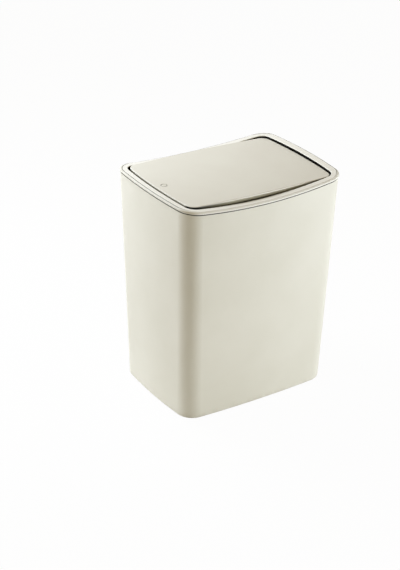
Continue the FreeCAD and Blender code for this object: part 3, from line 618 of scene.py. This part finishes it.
# the frame's near-black colour is painted shade, so that the gap round the lid reads dark
paintedShadeFrame = {
    "pale": paint(36, 35, 33),
    "deep": paint(28, 27, 26),
    "rough": (0.5, 0.62),
    "grainScale": 900,
    "grainStrength": 0.35,
    "grainDepth": 0.00008,
    "specular": 0.35,
}
blackRubber = {
    "pale": paint(48, 47, 46),
    "deep": paint(36, 35, 35),
    "rough": (0.68, 0.82),
    "grainScale": 2600,
    "grainStrength": 0.4,
    "grainDepth": 0.00005,
    "specular": 0.3,
}
technicalClouds = {
    "toneScale": 130,
    "toneDetail": 4,
    "toneSpan": (0.35, 0.65),
    "glossScale": 260,
    "glossDetail": 3,
    "glossSpan": (0.3, 0.7),
    "grainDetail": 2,
}


def technicalPlastic(name, look):
    material, tree, shader, coords = startFinish(name)
    clouds = technicalClouds
    colour = cloudedTone(tree, coords, clouds["toneScale"], clouds, look)
    tree.links.new(colour, shader.inputs["Base Color"])
    setGloss(tree, shader, coords, clouds, look)
    shader.inputs["Specular IOR Level"].default_value = look["specular"]
    tree.links.new(grained(tree, coords, clouds, look), shader.inputs["Normal"])
    return material


# metals: drawn or rolled lines along one axis, with a little staining
brightSteel = {
    "pale": paint(206, 207, 209),
    "deep": paint(182, 183, 186),
    "rough": (0.16, 0.28),
    "lines": (30, 1400, 1400),
    "lineStrength": 0.1,
}
zincSteel = {
    "pale": paint(190, 194, 199),
    "deep": paint(160, 163, 166),
    "rough": (0.3, 0.46),
    "lines": (500, 500, 500),
    "lineStrength": 0.15,
}
springSteel = {
    "pale": paint(158, 158, 160),
    "deep": paint(122, 121, 122),
    "rough": (0.24, 0.38),
    "lines": (900, 900, 900),
    "lineStrength": 0.1,
}
magnetNickel = {
    "pale": paint(214, 209, 199),
    "deep": paint(196, 190, 180),
    "rough": (0.12, 0.22),
    "lines": (700, 700, 700),
    "lineStrength": 0.05,
}
metalClouds = {
    "toneScale": 170,
    "toneDetail": 5,
    "toneSpan": (0.35, 0.68),
    "glossScale": 320,
    "glossDetail": 4,
    "glossSpan": (0.3, 0.7),
    "lineScale": 1,
    "lineDetail": 3,
    "lineDepth": 0.00003,
}


def workedMetal(name, look):
    material, tree, shader, coords = startFinish(name)
    clouds = metalClouds
    colour = cloudedTone(tree, coords, clouds["toneScale"], clouds, look)
    tree.links.new(colour, shader.inputs["Base Color"])
    shader.inputs["Metallic"].default_value = 1
    setGloss(tree, shader, coords, clouds, look)
    drawn = stretched(tree, coords, look["lines"])
    lines = noise(tree, drawn, clouds["lineScale"], clouds["lineDetail"])
    normal = bump(tree, lines, look["lineStrength"], clouds["lineDepth"])
    tree.links.new(normal, shader.inputs["Normal"])
    return material


finishes = {
    "cream_shell": mouldedPlastic("creamShell", creamShell, [(seamShadeMask, seamPaintedShade["tone"])]),
    "cream_collar": mouldedPlastic(
        "creamCollar",
        creamCollar,
        [
            (skirtShadeMask, skirtPaintedShade["tone"]),
            (creaseShadeMask, creasePaintedShade["tone"]),
            (mouthShadeMask, mouthPaintedShade["tone"]),
        ],
    ),
    "cream_lid": mouldedPlastic(
        "creamLid",
        creamLid,
        [
            (lidEdgeHighlightMask, lidEdgeHighlight["tone"]),
            (lidWallShadeMask, lidWallPaintedShade["tone"]),
            (cornerShadowMask, cornerPaintedShadow["tone"]),
            (ringGrooveShadeMask, ringGroovePaintedShade["tone"]),
        ],
    ),
    "cream_liner": mouldedPlastic("creamLiner", creamLiner),
    "white_acetal": technicalPlastic("whiteAcetal", whiteAcetal),
    "grey_acetal": technicalPlastic("greyAcetal", greyAcetal),
    "dark_frame": technicalPlastic("paintedShadeFrame", paintedShadeFrame),
    "black_rubber": technicalPlastic("blackRubber", blackRubber),
    "bright_steel": workedMetal("brightSteel", brightSteel),
    "zinc_steel": workedMetal("zincSteel", zincSteel),
    "spring_steel": workedMetal("springSteel", springSteel),
    "magnet_nickel": workedMetal("magnetNickel", magnetNickel),
}
nodeFinishes = {
    "cream_shell": ["bin_body"],
    "cream_collar": ["lid_collar"],
    "dark_frame": ["collar_frame"],
    "cream_lid": ["lid_panel"],
    "cream_liner": ["lid_liner"],
    "white_acetal": ["hinge_bush_left", "hinge_bush_right", "latch_plunger"],
    "grey_acetal": ["latch_housing", "latch_cover"],
    "bright_steel": ["hinge_axle", "strike_plate"],
    "zinc_steel": ["axle_clips", "latch_screws", "liner_screws", "strike_screws"],
    "spring_steel": ["latch_follower"],
    "magnet_nickel": ["latch_magnet"],
}
for slotName, members in nodeFinishes.items():
    for member in members:
        mesh = nodes[member].data
        mesh.materials.clear()
        mesh.materials.append(finishes[slotName])
print("finishes made:", len(finishes))

mergeDistance = 0.000001  # metres


def mergeSeams(bm):
    bmesh.ops.remove_doubles(bm, verts=bm.verts, dist=mergeDistance)
    bmesh.ops.recalc_face_normals(bm, faces=bm.faces)


def roundEdges(bm, edges, radius, segments):
    bmesh.ops.bevel(
        bm,
        geom=edges,
        offset=radius,
        affect="EDGES",
        segments=segments,
        profile=0.5,  # a quarter circle
        material=-1,
    )


def keepPiece(bm, name, slotName):
    mergeSeams(bm)
    mesh = bpy.data.meshes.new(name)
    bm.to_mesh(mesh)
    bm.free()
    mesh.shade_smooth()
    mesh.materials.append(finishes[slotName])
    piece = bpy.data.objects.new(name, mesh)
    scene.collection.objects.link(piece)
    return piece


def wireRing(bm, radius, segments, centre, heading):
    # a ring of wire across its heading
    turn = heading.to_track_quat("Z", "Y").to_matrix().to_4x4()
    place = Matrix.Translation(centre) @ turn
    made = bmesh.ops.create_circle(
        bm,
        cap_ends=False,
        segments=segments,
        radius=radius,
        matrix=place,
    )
    ring = made["verts"]
    return ring, list({edge for vert in ring for edge in vert.link_edges})


def drawnOn(bm, edges, way):
    # pulls an open ring on along a straight run
    made = bmesh.ops.extrude_edge_only(bm, edges=edges)["geom"]
    verts = [item for item in made if isinstance(item, bmesh.types.BMVert)]
    bmesh.ops.translate(bm, verts=verts, vec=way)
    return [item for item in made if isinstance(item, bmesh.types.BMEdge) and item.is_boundary]


def wound(bm, verts, edges, centre, axis, rise, turns, stepsPerTurn):
    # winds a ring of wire round an axis, rising a little at each step
    steps = round(turns * stepsPerTurn)
    made = bmesh.ops.spin(
        bm,
        geom=verts + edges,
        cent=centre,
        axis=axis,
        dvec=rise * turns / steps,
        angle=2 * math.pi * turns,
        steps=steps,
    )["geom_last"]
    verts = [item for item in made if isinstance(item, bmesh.types.BMVert)]
    edges = [item for item in made if isinstance(item, bmesh.types.BMEdge)]
    return verts, edges


def closedEnd(bm, edges, look):
    # caps a cut wire end and takes off its sharp edge
    face = bmesh.ops.contextual_create(bm, geom=edges)["faces"][0]
    roundEdges(bm, list(face.edges), look["chamfer"], look["chamferSegments"])


# torsion springs: the coil lies round the axle, one leg stands on the ear's foot, one lifts the lid
axleLow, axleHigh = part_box("hinge_axle")
hingeLine = (axleLow + axleHigh) / 2
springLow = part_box("hinge_spring_right")[0]
torsionSpring = {
    "wire": 0.0012,
    "coilRadius": 0.0032,
    "start": 0.0507,  # distance of the first turn from the middle
    "pitch": 0.0019,
    "turns": 5.75,
    "footLeg": hingeLine.z - springLow.z,
    "lidLeg": 0.02,
    "ringSegments": 14,
    "stepsPerTurn": 28,
    "chamfer": 0.00018,
    "chamferSegments": 2,
}


def makeTorsionSpring(name, side, look):
    bm = bmesh.new()
    radius = look["coilRadius"]
    rise = Vector((-side * look["pitch"], 0, 0))  # one turn's advance towards the middle
    lean = rise.x / (2 * math.pi)
    begin = hingeLine + Vector((side * look["start"], -radius, 0))
    upward = Vector((lean, 0, radius)).normalized()
    forward = Vector((lean, -radius, 0)).normalized()
    ring, ringEdges = wireRing(bm, look["wire"] / 2, look["ringSegments"], begin, upward)
    axis = (-1, 0, 0)
    turns, stepsPerTurn = look["turns"], look["stepsPerTurn"]
    lastEdges = wound(bm, ring, ringEdges, hingeLine, axis, rise, turns, stepsPerTurn)[1]
    footEdges = drawnOn(bm, ringEdges, upward * -look["footLeg"])
    lidEdges = drawnOn(bm, lastEdges, forward * look["lidLeg"])
    closedEnd(bm, footEdges, look)
    closedEnd(bm, lidEdges, look)
    piece = keepPiece(bm, name + "_coil", "spring_steel")
    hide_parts(name)
    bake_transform(piece)


makeTorsionSpring("hinge_spring_left", -1, torsionSpring)
makeTorsionSpring("hinge_spring_right", 1, torsionSpring)
print("torsion springs wound")

# compression spring under the plunger, with a closed turn at each end
coilLow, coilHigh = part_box("latch_spring")
latchLine = Vector((0, (coilLow.y + coilHigh.y) / 2, 0))
latchSpring = {
    "wire": 0.0008,
    "coilRadius": 0.0021,
    "bottom": coilLow.z,
    "top": coilHigh.z,
    "closedPitch": 0.00085,
    "openTurns": 5,
    "ringSegments": 12,
    "stepsPerTurn": 28,
    "chamfer": 0.00012,
    "chamferSegments": 2,
}


def makeLatchSpring(look):
    bm = bmesh.new()
    low = look["bottom"] + look["wire"] / 2  # heights of the wire's centre at the two ends
    high = look["top"] - look["wire"] / 2
    begin = latchLine + Vector((look["coilRadius"], 0, low))
    ring, ringEdges = wireRing(bm, look["wire"] / 2, look["ringSegments"], begin, Vector((0, 1, 0)))
    closedRise = Vector((0, 0, look["closedPitch"]))
    openHeight = high - low - 2 * look["closedPitch"]
    openRise = Vector((0, 0, openHeight / look["openTurns"]))
    up = (0, 0, 1)
    coil = (ring, ringEdges)
    for rise, turns in ((closedRise, 1), (openRise, look["openTurns"]), (closedRise, 1)):
        coil = wound(bm, *coil, latchLine, up, rise, turns, look["stepsPerTurn"])
    closedEnd(bm, ringEdges, look)
    closedEnd(bm, coil[1], look)
    piece = keepPiece(bm, "latch_spring_coil", "spring_steel")
    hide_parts("latch_spring")
    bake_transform(piece)


makeLatchSpring(latchSpring)
print("latch spring wound")

# rubber studs in the latch shelf that the lid comes down on
rubberStud = {
    "fromMiddle": 0.029,
    "top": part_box("lid_buffers")[1].z,
    "shelfThickness": 0.003,
    "headRadius": 0.004,
    "headHeight": 0.0078,
    "headRound": 0.0012,
    "roundSegments": 5,
    "crownAngle": 1,  # radians, the least turn of an edge that is rounded
    "stemRadius": 0.002,
    "bulbRadius": 0.003,
    "bulbHeight": 0.002,
    "segments": 40,
}


def makeStuds(look):
    bm = bmesh.new()
    top = look["top"]
    shelfTop = top - look["headHeight"]
    underShelf = shelfTop - look["shelfThickness"]
    profile = (
        (0, top),
        (look["headRadius"], top),
        (look["headRadius"], shelfTop),
        (look["stemRadius"], shelfTop),
        (look["stemRadius"], underShelf),
        (look["bulbRadius"], underShelf),
        (look["stemRadius"], underShelf - look["bulbHeight"]),
        (0, underShelf - look["bulbHeight"]),
    )
    for side in (-1, 1):
        middle = latchLine + Vector((side * look["fromMiddle"], 0, 0))
        line = [bm.verts.new(middle + Vector((out, 0, height))) for out, height in profile]
        edges = [bm.edges.new(pair) for pair in zip(line, line[1:])]
        bmesh.ops.spin(
            bm,
            geom=line + edges,
            cent=middle,
            axis=(0, 0, 1),
            angle=2 * math.pi,
            steps=look["segments"],
            use_merge=True,
        )
    mergeSeams(bm)
    crown = [
        edge
        for edge in bm.edges
        if all(abs(vert.co.z - top) < mergeDistance for vert in edge.verts)
        and len(edge.link_faces) == 2
        and edge.calc_face_angle() > look["crownAngle"]
    ]
    roundEdges(bm, crown, look["headRound"], look["roundSegments"])
    piece = keepPiece(bm, "lid_buffer_studs", "black_rubber")
    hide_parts("lid_buffers")
    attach(piece, "collar")


makeStuds(rubberStud)
print("rubber studs made")
